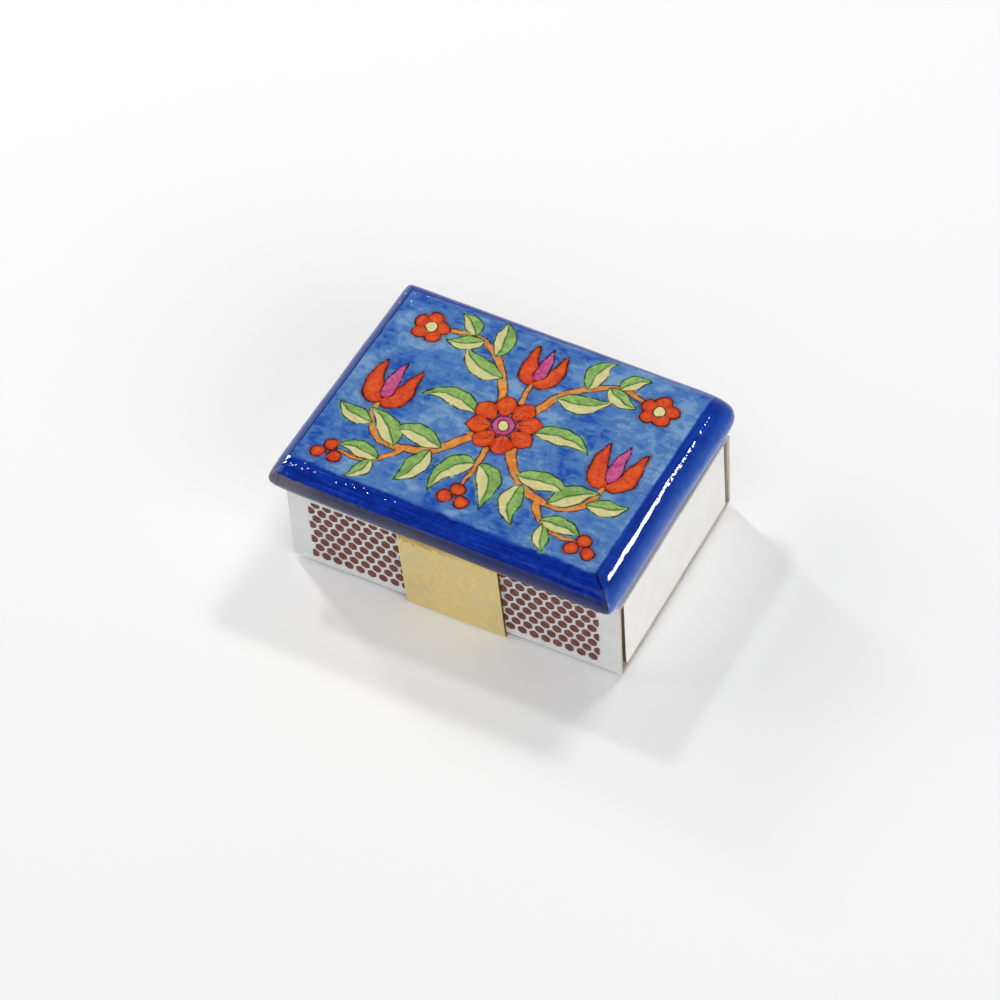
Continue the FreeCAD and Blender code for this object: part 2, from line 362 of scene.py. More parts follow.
# %% [markdown]
# ## The board
# On the real object this is a flat piece of wood whose four edges were worked round and then painted
# and lacquered. The top is to be painted, so it needs a fine grid of points to hold the design. The
# round edge could be a bevel, but a bevel this wide would run into that grid. Instead the rim of the
# grid is extruded ring by ring along half an oval, and each ring is scaled out to its place. The
# corners come out mitred, as on the real board.

# %% Model the board
board_low, board_high = (Vector(corner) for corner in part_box("cover_board"))
EDGE_REACH = 3.5 * MM
EDGE_RINGS = 28
PAINT_CELL = 0.2 * MM
flat_x = board_high.x - EDGE_REACH
flat_y = board_high.y - EDGE_REACH
half_thickness = (board_high.z - board_low.z) / 2
board_middle = board_low.z + half_thickness
cells_x = round(2 * flat_x / PAINT_CELL)
cells_y = round(2 * flat_y / PAINT_CELL)

start_clean()
bpy.ops.mesh.primitive_grid_add(x_subdivisions=cells_x, y_subdivisions=cells_y, size=2)
board = name_piece("painted_board")
bpy.ops.object.mode_set(mode="EDIT")
bpy.ops.mesh.select_all(action="SELECT")
bpy.ops.transform.resize(value=(flat_x, flat_y, 1), center_override=(0, 0, 0))
bpy.ops.transform.translate(value=(0, 0, board_high.z))
bpy.ops.mesh.region_to_loop()
ring = Vector((flat_x, flat_y, board_high.z))
for step in range(1, EDGE_RINGS + 1):
    turn = math.pi * step / EDGE_RINGS
    out = EDGE_REACH * math.sin(turn)
    goal = Vector((flat_x + out, flat_y + out, board_middle + half_thickness * math.cos(turn)))
    bpy.ops.mesh.extrude_region_move(TRANSFORM_OT_translate={"value": (0, 0, goal.z - ring.z)})
    bpy.ops.transform.resize(value=(goal.x / ring.x, goal.y / ring.y, 1), center_override=(0, 0, goal.z))
    ring = goal
bpy.ops.mesh.edge_face_add()
bpy.ops.mesh.select_all(action="SELECT")
bpy.ops.mesh.normals_make_consistent(inside=False)
print("rings:", EDGE_RINGS, "of", 2 * (cells_x + cells_y), "faces")

# %% [markdown]
# The corners of the real board were rubbed down with the rest, and not all alike: the one at the back
# right is the roundest, the one at the back left the sharpest. Proportional editing pushes the tip of
# the roundest one in, and the points along each mitre are then relaxed, some longer than others. The
# right end was not cut quite square either, so the same kind of push makes it fuller towards the front.
# The edges also waver, as hand-rubbed wood under thick lacquer does: a Displace modifier moves them
# along their normals by less than a tenth of a millimetre, and a vertex group keeps it off the flat
# faces.

# %% Round the corners and let the edges waver
CORNERS = ((-1, -1, 1.0, 8), (1, -1, 0.5, 5), (-1, 1, 0.5, 3), (1, 1, 0.8, 2))
RELAXED_WIDTHS = (3.2 * MM, 2.4 * MM, 1.6 * MM, 1.0 * MM)
RUBBED_CORNER = 1.0 * MM
RUBBED_REACH = 4 * RUBBED_CORNER
FULLER_END = 0.35 * MM
FULLER_REACH = 22 * MM
WAVER = 0.12 * MM
WAVER_SPACING = 7 * MM


def near_mitre(middle, side_x, side_y, width):
    """True within this width of the mitre at one corner, outside the flat top."""
    beyond_x = side_x * middle.x - flat_x
    beyond_y = side_y * middle.y - flat_y
    return min(beyond_x, beyond_y) > -0.1 * MM and abs(beyond_x - beyond_y) < width


def on_round_edge(middle, run):
    """True on the worked edges, a little in from both flat faces."""
    return abs(middle.z - board_middle) < 0.97 * half_thickness


pick(
    board, "VERT",
    lambda middle, run: middle.x - flat_x > EDGE_REACH / 3
    and abs((middle.x - flat_x) - (middle.y - flat_y)) < TOUCH,
)
bpy.ops.transform.translate(
    value=(-RUBBED_CORNER, -RUBBED_CORNER, 0),
    use_proportional_edit=True, proportional_edit_falloff="SHARP", proportional_size=RUBBED_REACH,
)
for side_x, side_y, share, rounds in CORNERS:
    for width in RELAXED_WIDTHS:
        pick(board, "VERT", lambda middle, run: near_mitre(middle, side_x, side_y, share * width))
        bpy.ops.mesh.vertices_smooth(factor=0.5, repeat=rounds)
pick(board, "VERT", lambda middle, run: middle.x > flat_x + EDGE_REACH / 2 and middle.y < -flat_y)
bpy.ops.transform.translate(
    value=(FULLER_END, 0, 0),
    use_proportional_edit=True, proportional_edit_falloff="SMOOTH", proportional_size=FULLER_REACH,
)
pick(board, "VERT", on_round_edge)
bpy.ops.object.vertex_group_assign_new()
edge_group = board.vertex_groups[-1].name
waver = bpy.data.textures.new("waver", "CLOUDS")
waver.noise_scale = WAVER_SPACING
apply_modifier(
    board, "DISPLACE", texture=waver, texture_coords="LOCAL", strength=WAVER, vertex_group=edge_group
)
board.vertex_groups.clear()
smooth(board, 80)
report(board)

# %% [markdown]
# ## The painted panel
# The top is hand painted: a garden of leaves and flowers with thin ink outlines on a brushed blue
# ground. A picture file could hold that, but numbers stored on the mesh can too, and they stay sharp.
# For each kind of paint every point of the top holds its distance to the nearest edge of that paint,
# less than nothing inside. The finish then paints where the distance is below zero and draws ink where
# it is close to zero, at any width. The design is a generic one: a rosette in the middle, tulips and
# small blossoms on curling stems, mirrored left and right, each shape a middle line with a width that
# swells and tapers.

# %% Middle lines, widths and distances
FAR = 3.0


def curve(start, pull_start, pull_end, end, pieces=20):
    """Points along a cubic curve, like the handles of a pen tool."""
    share = np.linspace(0, 1, pieces + 1)[:, None]
    start, pull_start, pull_end, end = np.array((start, pull_start, pull_end, end), float)
    return (
        start * (1 - share) ** 3
        + 3 * pull_start * share * (1 - share) ** 2
        + 3 * pull_end * share ** 2 * (1 - share)
        + end * share ** 3
    )


def measure(points, line):
    """For each point: its distance to the line, how far along that is, and the side it lies on."""
    distance = np.full(len(points), np.inf)
    along = np.zeros(len(points))
    side = np.zeros(len(points))
    for index, (start, end) in enumerate(zip(line[:-1], line[1:])):
        run = end - start
        share = np.clip((points - start) @ run / (run @ run), 0, 1)
        offset = points - start - share[:, None] * run
        reach = np.hypot(offset[:, 0], offset[:, 1])
        nearer = reach < distance
        distance[nearer] = reach[nearer]
        along[nearer] = (index + share[nearer]) / (len(line) - 1)
        cross = run[0] * offset[:, 1] - run[1] * offset[:, 0]
        side[nearer] = (cross / np.hypot(*run))[nearer]
    return distance, along, side


def leaf_shape(along):
    """A leaf is widest before its middle and pointed at both ends."""
    return np.sin(np.pi * along ** 0.8)


def petal_shape(along):
    """A petal is widest past its middle and blunt at the tip."""
    return np.sin(np.pi * np.clip(along, 0, 1) ** 1.5) ** 0.7


def tulip_shape(along):
    """A tulip's petal swells early and draws out to a point."""
    return np.sin(np.pi * along ** 0.62) ** 0.8


def stem_shape(along):
    """A stem thins a little towards its tip."""
    return 1.0 - 0.45 * along


# %% [markdown]
# The layers are filled by small brushes: `stroke` for anything with a middle line, `dot` for round
# things, `leaf_on` for a leaf that leaves a stem at an angle, and `blossom`, `tulip` and `berries` for
# what the stems carry. `both` makes a stroke and its mirror image.

# %% Lay out the design
mesh = board.data
corners = np.empty(len(mesh.vertices) * 3)
mesh.vertices.foreach_get("co", corners)
corners = corners.reshape(-1, 3) / MM
on_top = corners[:, 2] > board_high.z / MM - 0.5
PANEL_MIDDLE = np.array((-0.7, 1.2))
x, y = (corners[on_top, :2] - PANEL_MIDDLE).T
HAND_WOBBLE = 0.12
hand = np.column_stack((
    x + HAND_WOBBLE * (np.sin(0.9 * y + 0.4) + 0.6 * np.sin(2.1 * y + 1.3 * x)),
    y + HAND_WOBBLE * (np.sin(0.8 * x + 1.1) + 0.6 * np.sin(2.4 * x - 1.1 * y)),
))
LAYERS = ("stem", "leaf", "leaf_side", "leaf_along", "petal", "accent", "light", "line")
paint = {layer: np.full(len(hand), FAR) for layer in LAYERS}
print("points that hold paint:", len(hand))


def stroke(layer, line, width, shape, mirrored=False):
    """Add a shape with this middle line and greatest half width to a layer."""
    points = hand * (-1, 1) if mirrored else hand
    low, high = line.min(axis=0) - FAR - width, line.max(axis=0) + FAR + width
    near = np.all((points > low) & (points < high), axis=1)
    distance, along, side = measure(points[near], line)
    edge = distance - width * shape(along)
    nearest = edge < paint[layer][near]
    chosen = np.flatnonzero(near)[nearest]
    paint[layer][chosen] = edge[nearest]
    if layer + "_side" in paint:
        paint[layer + "_side"][chosen] = side[nearest]
        paint[layer + "_along"][chosen] = along[nearest]


def both(layer, line, width, shape):
    """The same stroke on the right and, mirrored, on the left."""
    stroke(layer, line, width, shape)
    stroke(layer, line, width, shape, mirrored=True)


def dot(layer, middle, radius, brush=both):
    """A round spot."""
    middle = np.array(middle, float)
    brush(layer, np.array((middle - 0.01, middle + 0.01)), radius, np.ones_like)


def leaf_on(stem, share, side, length, width, lean):
    """A leaf that leaves the stem at this share of its length, to its left (1) or right (-1)."""
    index = min(int(share * (len(stem) - 1)), len(stem) - 2)
    run = stem[index + 1] - stem[index]
    heading = math.atan2(run[1], run[0])
    foot = stem[index] + 0.3 * np.array((math.cos(heading), math.sin(heading)))
    out = heading + side * math.radians(lean)
    tip = out - side * math.radians(16)
    first = np.array((math.cos(out), math.sin(out))) * length
    last = np.array((math.cos(tip), math.sin(tip))) * length
    both("leaf", curve(foot, foot + 0.35 * first, foot + 0.7 * first, foot + last), width, leaf_shape)


def blossom(middle, petals=5, ring=1.75, radius=1.2, turn=0.3):
    """A small flower: round petals in a ring, with a pale eye."""
    for index in range(petals):
        angle = turn + 2 * math.pi * index / petals
        dot("petal", np.array(middle) + ring * np.array((math.cos(angle), math.sin(angle))), radius)
    dot("light", middle, 0.95)


def tulip(foot, height, spread, width, brush=both):
    """A tulip: two red petals that open to the sides, with a bright one between them."""
    foot = np.array(foot, float)
    for lean in (-spread, spread):
        outside = curve(
            foot, foot + (lean, 0.06 * height), foot + (0.92 * lean, 0.56 * height), foot + (lean, height)
        )
        brush("petal", outside, width, tulip_shape)
    inside = curve(*(foot + (0, share * height) for share in (0.1, 0.36, 0.7, 1.06)))
    brush("accent", inside, 0.72 * width, tulip_shape)


def berries(middle, radius, brush=both):
    """Three round berries in a bunch, hanging from the middle."""
    for offset in ((0.0, 0.0), (1.22, -1.72), (-1.22, -1.72)):
        dot("petal", np.array(middle) + radius * np.array(offset), radius, brush)


# %% [markdown]
# All that comes in pairs is painted once, for the right half: three stems, the leaves that leave them,
# and a tulip, a blossom and a bunch of berries at their tips. `both` adds the left half.

# %% Paint the right half and mirror it
scroll = curve((2.6, -2.6), (6.6, -12.4), (18.6, -13.2), (18.2, -3.6), 30)
upper_twig = curve((2.4, 3.4), (5.2, 11.0), (9.6, 14.8), (15.6, 12.8))
lower_twig = curve((10.8, -10.4), (11.8, -13.0), (14.4, -15.2), (18.8, -14.6))
for twig, width in ((scroll, 0.8), (upper_twig, 0.72), (lower_twig, 0.56)):
    both("stem", twig, width, stem_shape)

for share, side, length, width in (
    (0.20, 1, 8.4, 1.75), (0.52, 1, 7.8, 1.75), (0.28, -1, 7.4, 1.7), (0.80, -1, 6.2, 1.5)
):
    leaf_on(scroll, share, side, length, width, 56)
for share, side, length, width in (
    (0.24, -1, 8.2, 1.75), (0.46, 1, 6.8, 1.6), (0.68, -1, 5.6, 1.4), (0.78, 1, 5.0, 1.3)
):
    leaf_on(upper_twig, share, side, length, width, 52)
for share, side, length, width in ((0.40, 1, 6.4, 1.45), (0.52, -1, 4.8, 1.2)):
    leaf_on(lower_twig, share, side, length, width, 50)

tulip((18.2, -3.8), 7.8, 2.9, 1.5)
blossom((18.6, 12.0))
berries((20.3, -14.1), 1.05)
print("side sprays painted")

# %% [markdown]
# What stands on the middle line is painted once, with `stroke`: the rosette, the tulip above it and the
# berries below. Two pairs of leaves go beside them. Every layer is then stored on the mesh as an
# attribute, which the finish reads.

# %% Paint the middle
PETALS = 8
for index in range(PETALS):
    angle = 2 * math.pi * (index + 0.5) / PETALS
    ray = np.array((math.cos(angle), math.sin(angle)))
    stroke("petal", np.linspace(1.2 * ray, 5.5 * ray, 12), 1.62, petal_shape)
    stroke("line", np.linspace(2.3 * ray, 4.0 * ray, 4), 0.08, stem_shape)
dot("accent", (0, 0), 1.75, stroke)
dot("light", (0, 0), 0.9, stroke)
stroke("stem", curve((0, 4.4), (0.1, 6.4), (-0.1, 8.0), (0, 9.6)), 0.52, stem_shape)
tulip((0, 9.0), 6.8, 2.4, 1.35, stroke)
stroke("stem", curve((0, -4.4), (0.1, -7.4), (-0.1, -10), (0, -12.4)), 0.52, stem_shape)
both("leaf", curve((0.3, -8.0), (2.2, -8.4), (4.4, -11.0), (4.0, -15.6)), 1.75, leaf_shape)
both("leaf", curve((4.6, 0.2), (7.0, 2.2), (10.6, 2.4), (13.4, 0.2)), 1.6, leaf_shape)
berries((0, -13.4), 1.1, stroke)

for layer, values in paint.items():
    stored = np.full(len(mesh.vertices), FAR)
    stored[on_top] = np.clip(values, -FAR, FAR)
    mesh.attributes.new(layer, "FLOAT", "POINT").data.foreach_set("value", stored)
print("paint layers:", {layer: int((values < 0).sum()) for layer, values in paint.items()})

# %% [markdown]
# The board was not screwed down quite square to its clip: it is turned by a little more than one
# degree. The paint has to turn with it, so every point first stores where it was, and the finish below
# goes by that.

# %% Turn the board on its clip
BOARD_TURN = math.radians(-1.2)
mesh.attributes.new("own_place", "FLOAT_VECTOR", "POINT").data.foreach_set("vector", corners.ravel())
start_clean()
board.select_set(True)
bpy.context.view_layer.objects.active = board
board.rotation_euler.z = BOARD_TURN
bpy.ops.object.transform_apply(location=False, rotation=True, scale=False)
report(board)

# %% [markdown]
# ## The paint and its lacquer
# The finish is laid down as it would be by hand: cobalt over everything, a paler panel washed on top,
# then stems, leaves and flowers in thin washes, ink last, and clear lacquer over all. The panel is
# watery: broad patches, softer blots inside them, brush strokes two ways, and the grain of the wood
# showing through as a fine speckle. On the rim the strokes run along each edge, so one pattern serves
# the long sides and another the ends, changing at the mitre.

# %% Ground
board_finish, tree, shader = new_finish("painted wood under lacquer")
place = add(tree, "ShaderNodeAttribute", attribute_name="own_place").outputs["Vector"]
px, py, pz = axes(tree, place)


def blend(share, first, second):
    """A number that goes from the first to the second."""
    return add(tree, "ShaderNodeMix", {0: share, 2: first, 3: second}, data_type="FLOAT").outputs[0]


def total(*weighted):
    """The sum of pairs of a number and its weight."""
    result = 0.0
    for value, weight in weighted:
        result = calc(tree, "ADD", calc(tree, "MULTIPLY", value, weight), result)
    return result


wander = calc(tree, "SUBTRACT", noise(tree, place, 0.55, 3), 0.5)
patches = noise(tree, place, 0.15, 3, 0.55, 0.8)
blots = noise(tree, place, 0.5, 4, 0.6, 1.4)
brushed = noise(tree, stretch(tree, place, (0.30, 1.5, 1.0), 8), 1.0, 3, 0.5, 0.5)
swept = noise(tree, stretch(tree, place, (0.4, 1.3, 1.0), 62), 1.0, 3, 0.5, 0.5)
speckle = noise(tree, place, 3.4, 3, 0.65)
tone = total((patches, 1.3), (blots, 0.7), (brushed, 0.32), (swept, 0.34), (speckle, 0.16))
panel = over(tree, ramp(tree, tone, 1.12, 1.42), srgb(32, 79, 169), srgb(78, 122, 184))
panel = over(tree, ramp(tree, tone, 1.40, 1.68), panel, srgb(121, 157, 199))
panel = over(tree, ramp(tree, speckle, 0.60, 0.80, 0.0, 0.2), panel, srgb(135, 168, 201))
print("ground:", len(tree.nodes), "nodes")

# %% [markdown]
# The rim is not one blue. Its upper half is deep cobalt. Low on the front, below a clear upper line, a
# grey navy is painted in as the shade and dull reflection there; it is paler towards the left corner, and
# the right half of the front is painted a darker navy, more painted shade.

# %% Rim and its thin front
along_x = noise(tree, stretch(tree, place, (0.12, 2.6, 2.6)), 1.0, 4, 0.65)
along_y = noise(tree, stretch(tree, place, (2.6, 0.12, 2.6)), 1.0, 4, 0.65)
past_x = calc(tree, "SUBTRACT", calc(tree, "ABSOLUTE", px), flat_x / MM)
past_y = calc(tree, "SUBTRACT", calc(tree, "ABSOLUTE", py), flat_y / MM)
mitre = calc(tree, "SUBTRACT", past_x, past_y)
on_end = ramp(tree, total((mitre, 1.0), (wander, 1.5)), -0.4, 0.4)
streaks = total((blend(on_end, along_x, along_y), 0.6), (blots, 0.4))
rim = over(tree, ramp(tree, streaks, 0.38, 0.60), srgb(2, 28, 120), srgb(10, 50, 158))
rim = over(tree, ramp(tree, streaks, 0.54, 0.72, 0.0, 0.6), rim, srgb(44, 88, 184))

middle_z = board_middle / MM
near_front = ramp(tree, py, -16.0, -17.0)
near_right = ramp(tree, px, 22.0, 23.0)
at_front = times(tree, near_front, calc(tree, "SUBTRACT", 1.0, on_end))
at_right = times(tree, near_right, on_end)
left_corner = times(tree, ramp(tree, py, -15.0, -18.0), ramp(tree, px, -22.0, -23.0), on_end)
low_band_height = total((pz, 1.0), (wander, 0.5), (px, 0.006))
# painted shade and reflection: where the grey navy band lies low on the front edge
thin = times(
    tree, calc(tree, "ADD", at_front, left_corner),
    ramp(tree, low_band_height, middle_z + 1.45, middle_z + 1.25),
    ramp(tree, total((px, 1.0), (blots, 14.0)), 4.0, 19.0, 1.0, 0.25),
)
shade_and_reflection_navy = over(tree, ramp(tree, along_x, 0.35, 0.65), srgb(34, 36, 58), srgb(48, 54, 92))
rim = over(tree, thin, rim, shade_and_reflection_navy)
rim = over(tree, times(tree, thin, ramp(tree, px, -16, -25, 0.0, 0.55)), rim, srgb(112, 108, 116))
# painted shade: a darker navy low on the right half of the front
shaded_low_front = times(tree, at_front, ramp(tree, low_band_height, middle_z + 1.9, middle_z + 1.0))
rim = over(tree, times(tree, shaded_low_front, ramp(tree, px, -4, 6, 0.0, 0.85)), rim, srgb(3, 18, 78))
print("rim:", len(tree.nodes), "nodes")

# %% [markdown]
# The right end turns paler downwards, a painted reflection of the pale surroundings, and a paler band
# along the left end is a painted reflection too. The lower edge of the front is chipped to dark wood, and
# the paint is cracked along the mitre at the front right.

# %% Ends, chips and the cracked mitre
# painted reflection: the right end paler low down
lower_right_reflection = ramp(tree, pz, middle_z + 2.3, middle_z + 1.6, 0.15, 0.5)
rim = over(tree, times(tree, at_right, lower_right_reflection), rim, srgb(54, 96, 184))
# painted reflection: a paler band along the left end
left_reflection_band = times(tree, ramp(tree, px, -25.5, -25.7), ramp(tree, px, -26.7, -26.2), on_end)
rim = over(tree, left_reflection_band, rim, srgb(68, 90, 149))
# painted reflection: a pale haze low on the right end
painted_reflection_haze = ramp(tree, total((pz, 1.0), (wander, 1.2)), middle_z + 2.0, middle_z - 0.8)
rim = over(tree, times(tree, at_right, painted_reflection_haze, 0.8), rim, srgb(84, 120, 196))
chip_line = total((pz, 1.0), (blots, -3.2), (px, 0.02))
chips = times(tree, at_front, ramp(tree, chip_line, middle_z - 3.3, middle_z - 3.6))
rim = over(tree, chips, rim, srgb(34, 28, 22))
off_mitre = calc(tree, "ABSOLUTE", total((mitre, 1.0), (wander, 0.8)))
crack = times(tree, ramp(tree, off_mitre, 0.40, 0.08, 0.0, 0.9), ramp(tree, blots, 0.38, 0.50, 0.3, 1.0))
rim = over(tree, times(tree, near_front, near_right, crack), rim, srgb(5, 10, 44))
print("rim with its wear:", len(tree.nodes), "nodes")

# %% [markdown]
# The panel's borders were ruled by eye, so `inside` has wandering limits. A dark line stays in the gap
# along the left, painted sparkles of light lie in the corner behind it, and a faint ruled line is left at
# the right.

# %% Borders of the panel
LEFT_BORDER = -25.4
RIGHT_BORDER = 23.5
FRONT_BORDER = -17.2
BACK_BORDER = 19.2
GAP_LINE = -25.5
RULED_LINE = 22.4
top_z = board_high.z / MM
strayed_x = total((px, 1.0), (wander, 0.4))
strayed_y = total((py, 1.0), (wander, 0.8))
inside = times(
    tree,
    ramp(tree, strayed_x, LEFT_BORDER - 0.15, LEFT_BORDER + 0.15),
    ramp(tree, strayed_x, RIGHT_BORDER + 0.2, RIGHT_BORDER - 0.2),
    ramp(tree, strayed_y, FRONT_BORDER - 0.4, FRONT_BORDER + 0.4),
    ramp(tree, total((strayed_y, 1.0), (px, -0.02)), BACK_BORDER + 0.15, BACK_BORDER - 0.15),
    ramp(tree, pz, top_z - 1.6, top_z - 1.2),
)
colour = over(tree, inside, rim, panel)
off_gap = calc(tree, "ABSOLUTE", calc(tree, "SUBTRACT", strayed_x, GAP_LINE))
colour = over(tree, ramp(tree, off_gap, 0.22, 0.05, 0.0, 0.6), colour, srgb(14, 26, 70))
specks = add(tree, "ShaderNodeTexVoronoi", {"Vector": place, "Scale": 1.1}).outputs["Distance"]
back_corner = times(tree, ramp(tree, px, -20, -24), ramp(tree, py, 14, 17))
# painted highlight: pale sparkles in the back left corner
painted_sparkles = times(tree, back_corner, ramp(tree, specks, 0.20, 0.12))
colour = over(tree, painted_sparkles, colour, srgb(206, 222, 232))
off_ruled = calc(tree, "ABSOLUTE", calc(tree, "SUBTRACT", px, RULED_LINE))
ruled = times(
    tree, ramp(tree, off_ruled, 0.12, 0.02, 0.0, 0.45), ramp(tree, py, -7, -4), ramp(tree, py, 9, 6),
    ramp(tree, speckle, 0.3, 0.55),
)
colour = over(tree, ruled, colour, srgb(44, 58, 92))
print("panel and borders:", len(tree.nodes), "nodes")

# %% [markdown]
# Now the washes. `wash` lays a colour where a stored distance is below zero, moved a little by noise,
# with a soft spill outside its line where the brush was too wet. `ink` draws along the zero line with a
# width that comes and goes like a pen, and now and then the pen skips.

# %% Stems, leaves and flowers
stray = times(tree, calc(tree, "SUBTRACT", noise(tree, place, 0.8, 2), 0.5), 0.8)
pen = ramp(tree, noise(tree, place, 1.1, 3, 0.65), 0.25, 0.75, 0.03, 0.16)
skip = ramp(tree, noise(tree, place, 0.7, 3, 0.6), 0.33, 0.42, 0.25, 1.0)
blotted = total((blots, 1.0), (speckle, 0.6))
INK = srgb(28, 20, 22)


def wash(below, distance, first, second, spill=None):
    """A thin mottled wash of two colours over the area of one layer, with a faint spill round it."""
    strayed = calc(tree, "ADD", distance, stray)
    if spill is not None:
        wet = times(tree, ramp(tree, strayed, 0.75, 0.05, 0.0, 0.75), ramp(tree, blots, 0.40, 0.60))
        below = over(tree, wet, below, spill)
    tint = over(tree, ramp(tree, blotted, 0.64, 0.98), first, second)
    return over(tree, ramp(tree, strayed, 0.12, -0.06, 0.0, 0.95), below, tint)


def ink(below, distance, strength=0.9):
    """A pen line along the edge of one layer."""
    off_line = calc(tree, "SUBTRACT", calc(tree, "ABSOLUTE", distance), pen)
    return over(tree, times(tree, ramp(tree, off_line, 0.07, -0.03, 0.0, strength), skip), below, INK)


stem = attribute(tree, "stem")
colour = wash(colour, stem, srgb(212, 120, 30), srgb(232, 158, 66))
colour = ink(colour, stem, 0.8)

leaf = attribute(tree, "leaf")
leaf_side = attribute(tree, "leaf_side")
leaf_along = attribute(tree, "leaf_along")
pale_half = over(tree, ramp(tree, blotted, 0.6, 1.0), srgb(206, 200, 132), srgb(226, 216, 158))
green_half = over(tree, ramp(tree, blotted, 0.6, 1.0), srgb(112, 156, 72), srgb(160, 194, 108))
which_half = ramp(tree, total((leaf_side, 1.0), (stray, 0.5)), -0.3, -0.1)
leaf_tint = over(tree, which_half, pale_half, green_half)
colour = wash(colour, leaf, leaf_tint, leaf_tint, srgb(92, 156, 128))
colour = ink(colour, leaf, 0.85)
off_vein = calc(tree, "SUBTRACT", calc(tree, "ABSOLUTE", leaf_side), times(tree, pen, 0.7))
in_leaf = times(tree, ramp(tree, leaf, -0.02, -0.2), ramp(tree, leaf_along, 0.98, 0.8))
vein = times(tree, ramp(tree, off_vein, 0.06, -0.02, 0.0, 0.75), in_leaf)
colour = over(tree, vein, colour, srgb(44, 56, 34))

petal = attribute(tree, "petal")
colour = wash(colour, petal, srgb(208, 58, 10), srgb(232, 100, 34), srgb(78, 52, 70))
rubbed_in = times(tree, ramp(tree, petal, -0.8, -0.05, 0.0, 0.6), ramp(tree, petal, 0.05, -0.05))
colour = over(tree, rubbed_in, colour, srgb(180, 44, 12))
colour = ink(colour, petal)
line = attribute(tree, "line")
colour = over(tree, ramp(tree, line, 0.06, -0.04, 0.0, 0.85), colour, INK)
accent = attribute(tree, "accent")
colour = wash(colour, accent, srgb(182, 62, 122), srgb(212, 98, 146))
colour = ink(colour, accent)
light = attribute(tree, "light")
colour = wash(colour, light, srgb(222, 206, 138), srgb(234, 222, 168))
colour = ink(colour, light)
print("design painted:", len(tree.nodes), "nodes")

# %% [markdown]
# The underside was never painted all over: colour laps round the edge and stops raggedly, and bare wood
# shows in the middle, where the clip sits. Lacquer is the shader's clear coat. Its relief is a bump on
# the coat alone: a broad ripple from the brush, and at the front left small domes over specks of dust,
# which break a highlight into sparkles. Towards the back of the right end the coat has sunk in and
# gloss is left in small pools, so the streak there turns into beads.

# %% Bare underside and lacquer
grain = noise(tree, stretch(tree, place, (0.12, 3.0, 3.0)), 1.0, 5, 0.65)
bare = over(tree, ramp(tree, grain, 0.3, 0.7), srgb(164, 128, 84), srgb(206, 174, 126))
ragged = times(tree, calc(tree, "SUBTRACT", noise(tree, place, 0.6, 4, 0.65), 0.5), 3.0)
edge_in = calc(tree, "ADD", calc(tree, "MAXIMUM", past_x, past_y), ragged)
low_z = board_low.z / MM
unpainted = times(tree, ramp(tree, edge_in, 0.2, -0.2), ramp(tree, pz, low_z + 0.5, low_z + 0.3))
colour = over(tree, unpainted, colour, bare)

dust = times(tree, ramp(tree, specks, 0.42, 0.0), at_front, ramp(tree, px, -4, -9))
ripple = bump(tree, noise(tree, place, 0.45, 1, 0.5), 0.006)
pools = calc(tree, "SUBTRACT", noise(tree, place, 1.9, 2, 0.6), ramp(tree, py, -10, 10, 0.28, 0.54))
dull = times(tree, ramp(tree, pools, 0.02, -0.02), ramp(tree, pz, middle_z + 0.6, middle_z + 1.2), at_right)
shader.inputs["Coat Weight"].default_value = 1.0
feed(tree, shader, {
    "Base Color": colour,
    "Roughness": 0.6,
    "Specular IOR Level": 0.0,
    "Normal": bump(tree, calc(tree, "ADD", brushed, speckle), 0.02),
    "Coat Weight": calc(tree, "SUBTRACT", 1.0, dull),
    "Coat Roughness": 0.03,
    "Coat IOR": 1.5,
    "Coat Normal": bump(tree, dust, 0.032, 1.0, ripple),
})
board.data.materials.clear()
board.data.materials.append(board_finish)
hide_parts("cover_board")
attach(board, "holder")
print("board finished:", len(tree.nodes), "nodes")

# %% [markdown]
# ## The brass clip
# The clip is one strip of sheet brass, bent four times: a lip, an arm, the web that is screwed to the
# board, the other arm and the other lip. It is made as it would be at the bench. A flat strip is laid
# down for the first lip, its end is swept round each bend with Spin and pulled out straight between
# bends, and Solidify gives the sheet its gauge. The front arm was not bent quite square, so the foot of
# it is moved a little to the right.

# %% Bend the strip
clip_low, clip_high = (Vector(corner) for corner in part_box("brass_clip"))
CLIP_SHEET = 0.5 * MM
CLIP_LIP = 6.0 * MM
CLIP_BEND = 0.7 * MM
BEND_STEPS = 8
ASKEW = 0.75 * MM
arm_face = clip_high.y
bend_line = arm_face - CLIP_BEND
lip_end = arm_face - CLIP_SHEET - CLIP_LIP


def pick_end(piece, y, z):
    """Select the edge of the strip that lies at this place, square to its run."""
    return pick(
        piece, "EDGE",
        lambda middle, run: abs(run.x) > ALONG and abs(middle.y - y) < TOUCH and abs(middle.z - z) < TOUCH,
    )


def bend_round(piece, y, z, centre_y, centre_z):
    """Sweep the end of the strip a quarter turn round a bend."""
    pick_end(piece, y, z)
    bpy.ops.mesh.spin(
        steps=BEND_STEPS, angle=math.pi / 2, center=(0, centre_y, centre_z), axis=(1, 0, 0)
    )


def pull(piece, y, z, move):
    """Draw the end of the strip out straight."""
    pick_end(piece, y, z)
    bpy.ops.mesh.extrude_region_move(TRANSFORM_OT_translate={"value": move})


